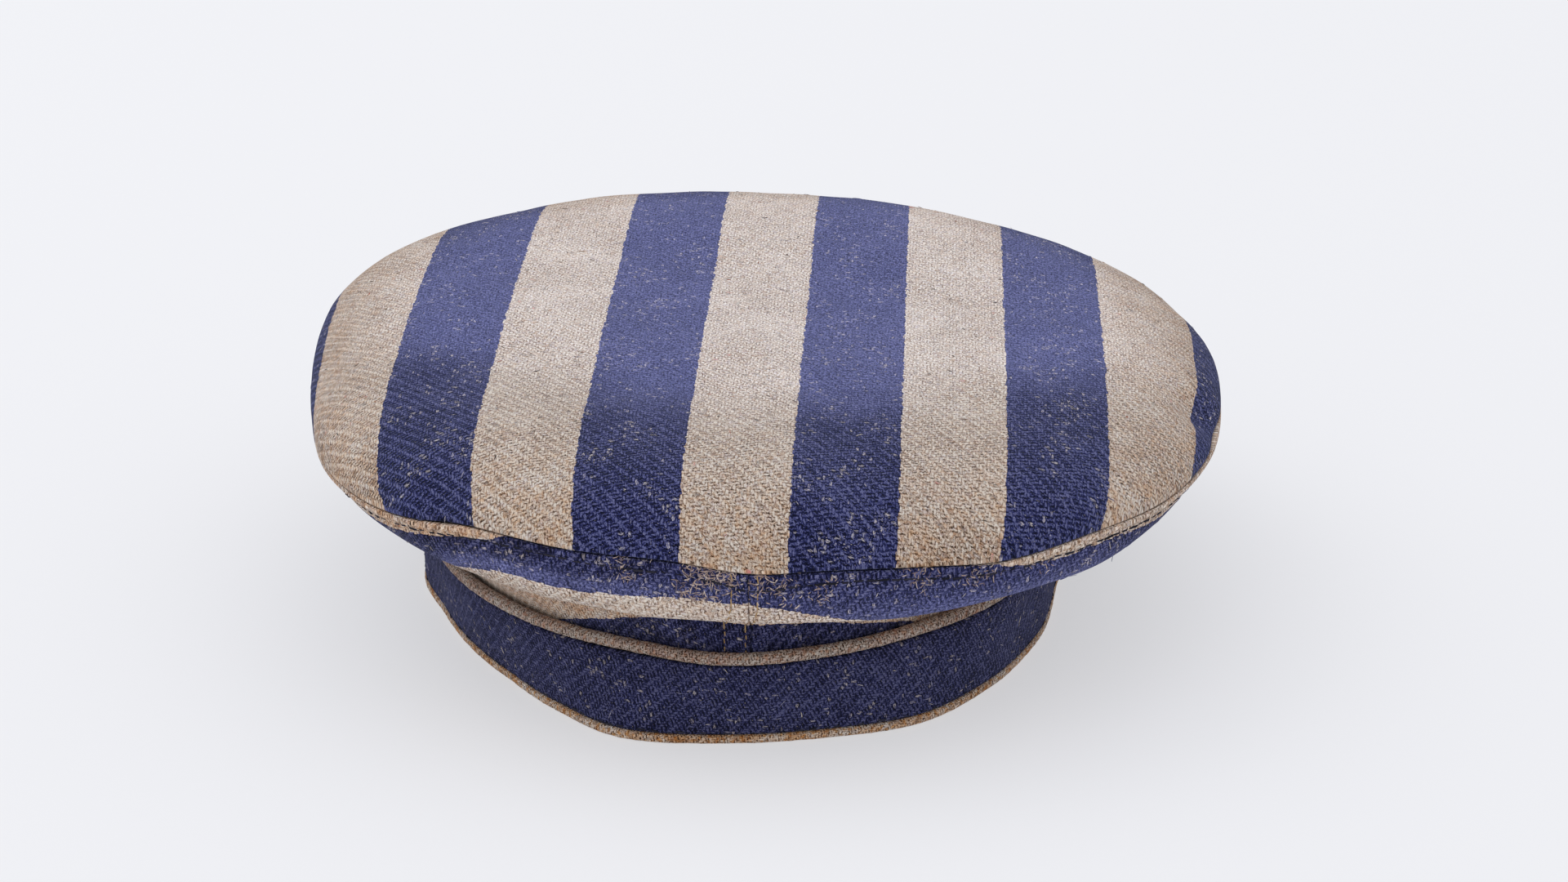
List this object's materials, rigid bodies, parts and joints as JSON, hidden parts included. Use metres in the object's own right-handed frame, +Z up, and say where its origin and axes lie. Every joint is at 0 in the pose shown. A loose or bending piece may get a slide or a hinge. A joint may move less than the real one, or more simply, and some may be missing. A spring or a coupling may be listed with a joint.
{
  "type": "striped prisoner cap",
  "caption": "Round striped wool cap with a soft flat crown, a folded ring under it and a turned-up band split at the back.",
  "frame": {"origin": "middle of the cap's outline on the surface it rests on", "axes": "+Z up, the front seam of the cap towards -Y, the split at the back towards +Y, +X to the right seen from the front"},
  "size_m": [0.2316, 0.2408, 0.0759],
  "materials": {
    "striped_cloth": "coarse wool twill in blue and grey stripes, matt and fuzzy",
    "blue_cloth": "coarse blue wool twill with pale flecks",
    "grey_fold": "grey-beige melange wool, rolled edge",
    "tan_fold": "soiled tan wool edge",
    "lining": "thin cream lining cloth"
  },
  "bodies": {
    "root": {"crown_top": "striped_cloth", "side_left": "striped_cloth", "side_right": "striped_cloth", "band": "blue_cloth", "band_top_fold": "grey_fold", "band_bottom_fold": "tan_fold", "band_lining": "lining"}
  },
  "joints": []
}
